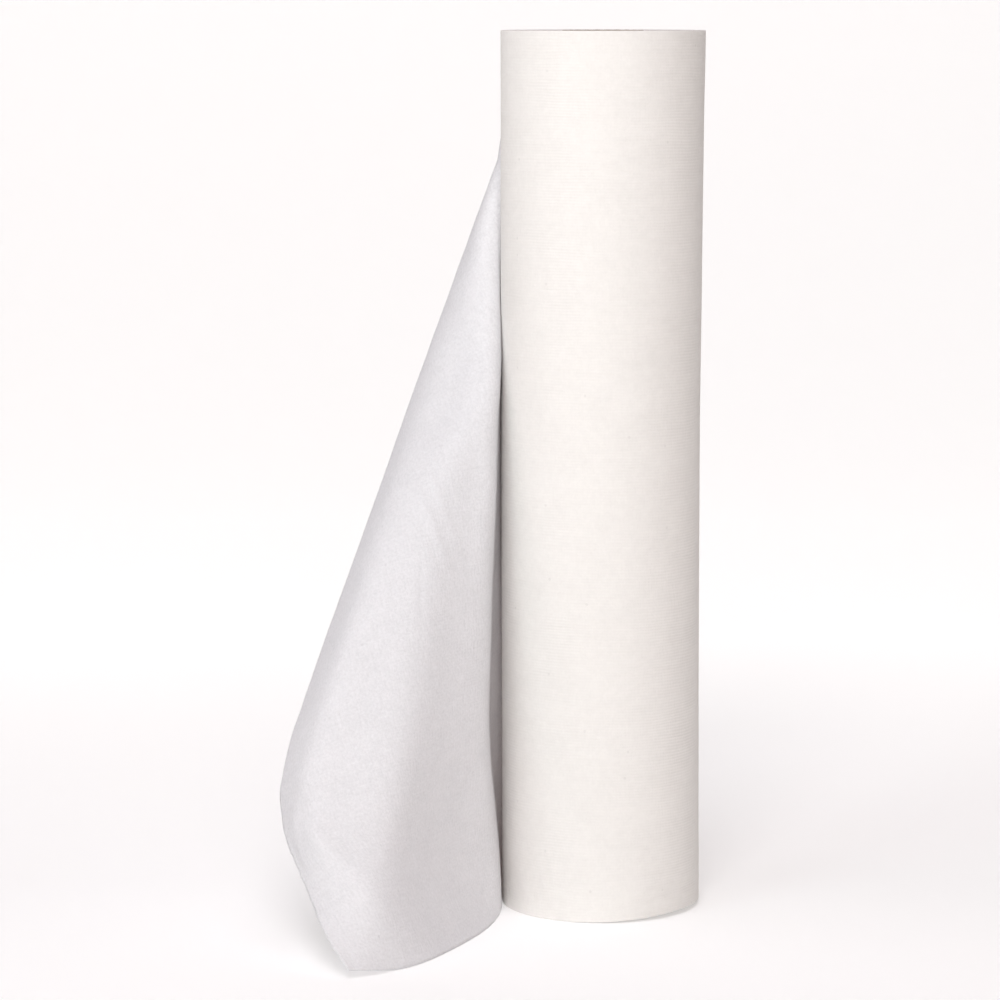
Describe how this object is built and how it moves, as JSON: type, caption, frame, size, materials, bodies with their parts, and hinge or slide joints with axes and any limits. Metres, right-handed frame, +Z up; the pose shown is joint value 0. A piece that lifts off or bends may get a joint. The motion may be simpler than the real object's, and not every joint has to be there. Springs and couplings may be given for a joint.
{
  "type": "exam table paper roll",
  "caption": "Roll of creped white paper on a cardboard tube, standing on end, with its loose end drawn out to one side and curled back behind the roll.",
  "frame": {"origin": "on the roll's axis, in the plane of the lower end that the roll stands on", "axes": "+Z up the roll's axis; the loose end comes off the -X side and its foot reaches forward along -Y"},
  "size_m": [0.2368, 0.3695, 0.5],
  "materials": {
    "paper": "matte creped paper",
    "cardboard": "matte grey-brown board"
  },
  "bodies": {
    "root": {"paper_web": "paper", "core_tube": "cardboard"}
  },
  "joints": []
}
